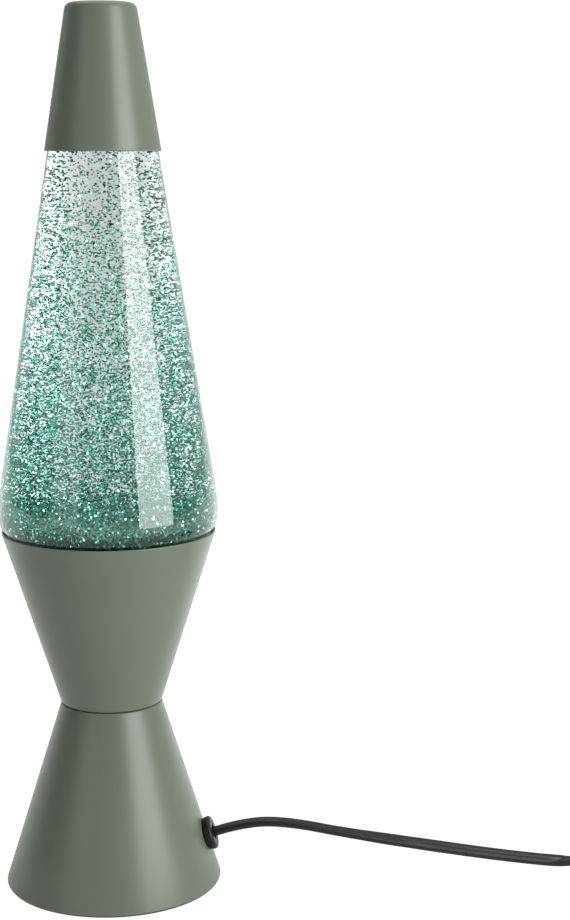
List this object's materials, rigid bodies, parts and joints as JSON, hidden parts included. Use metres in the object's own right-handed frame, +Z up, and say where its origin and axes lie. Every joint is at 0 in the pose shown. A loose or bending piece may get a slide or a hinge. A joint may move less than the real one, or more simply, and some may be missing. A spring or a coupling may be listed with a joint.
{
  "type": "glitter lava lamp",
  "caption": "Tapered glass globe of glitter liquid in a spun hourglass metal base, with a lift-off conical metal cap, a bulb inside the base and a switched mains cord.",
  "frame": {"origin": "centre of the foot on the surface the lamp stands on", "axes": "+Z up along the lamp's axis, +X towards the side the mains cord leaves, -Y towards the viewer"},
  "size_m": [0.4351, 0.0924, 0.37],
  "materials": {
    "sage_paint": "satin sage-green powder coat on spun sheet metal",
    "clear_glass": "clear blown glass",
    "bulb_glass": "clear glass, silvered inside on the reflector cone",
    "lamp_liquid": "clear liquid full of drifting metallised flakes",
    "green_flakes": "green metallised film flakes, settled",
    "black_rubber": "matt black moulded rubber",
    "black_plastic": "black moulded plastic, fine texture",
    "white_plastic": "off-white heat-proof plastic",
    "brass": "bright pressed brass",
    "tinned_steel": "zinc or nickel plated metal",
    "black_glass": "fused black glass",
    "filament_wire": "drawn grey wire",
    "cord_sheath": "charcoal flexible sheath, slight gloss, groove between the cores",
    "brown_insulation": "brown core insulation",
    "blue_insulation": "blue core insulation"
  },
  "bodies": {
    "base": {"cup_shell": "sage_paint", "foot_shell": "sage_paint", "bulb_envelope": "bulb_glass", "bulb_stem": "bulb_glass", "globe_gasket": "black_rubber", "grommet": "black_rubber", "foot_pad_1": "black_rubber", "foot_pad_2": "black_rubber", "foot_pad_3": "black_rubber", "foot_pad_4": "black_rubber", "base_plate": "black_plastic", "grommet_nut": "black_plastic", "cord_clamp": "black_plastic", "cord_tie": "black_plastic", "switch_lower": "black_plastic", "switch_upper": "black_plastic", "plug_body": "black_plastic", "plug_sleeve_1": "black_plastic", "plug_sleeve_2": "black_plastic", "lamp_holder": "white_plastic", "holder_ring": "white_plastic", "holder_screw_shell": "brass", "holder_contact": "brass", "terminal_screw_live": "brass", "terminal_screw_neutral": "brass", "switch_terminal_in": "brass", "switch_terminal_out": "brass", "bulb_screw_base": "tinned_steel", "bulb_tip_contact": "tinned_steel", "filament_lead_1": "tinned_steel", "filament_lead_2": "tinned_steel", "base_screw_1": "tinned_steel", "base_screw_2": "tinned_steel", "base_screw_3": "tinned_steel", "clamp_screw_1": "tinned_steel", "clamp_screw_2": "tinned_steel", "rocker_pin": "tinned_steel", "switch_screw_1": "tinned_steel", "switch_screw_2": "tinned_steel", "plug_pin_1": "tinned_steel", "plug_pin_2": "tinned_steel", "bulb_insulator": "black_glass", "filament": "filament_wire", "cord_inner": "cord_sheath", "cord_lead": "cord_sheath", "cord_link": "cord_sheath", "cord_tail": "cord_sheath", "cord_coil": "cord_sheath", "wire_live": "brown_insulation", "wire_neutral": "blue_insulation"},
    "globe": {"globe_glass": "clear_glass", "liquid": "lamp_liquid", "glitter_bed": "green_flakes", "closure_liner": "white_plastic", "crown_closure": "sage_paint"},
    "cap": {"cap_shell": "sage_paint"},
    "rocker": {"switch_rocker": "black_plastic"}
  },
  "joints": [
    {"name": "globe_lift", "type": "slide", "parent": "base", "child": "globe", "axis": [0, 0, 1], "range_m": [0, 0.06]},
    {"name": "cap_lift", "type": "slide", "parent": "globe", "child": "cap", "axis": [0, 0, 1], "range_m": [0, 0.055]},
    {"name": "rocker_tilt", "type": "hinge", "parent": "base", "child": "rocker", "pos_m": [0.26638, -0.01978, 0.0127], "axis": [0.1994, 0.9799, 0], "range_deg": [0, 16]}
  ]
}
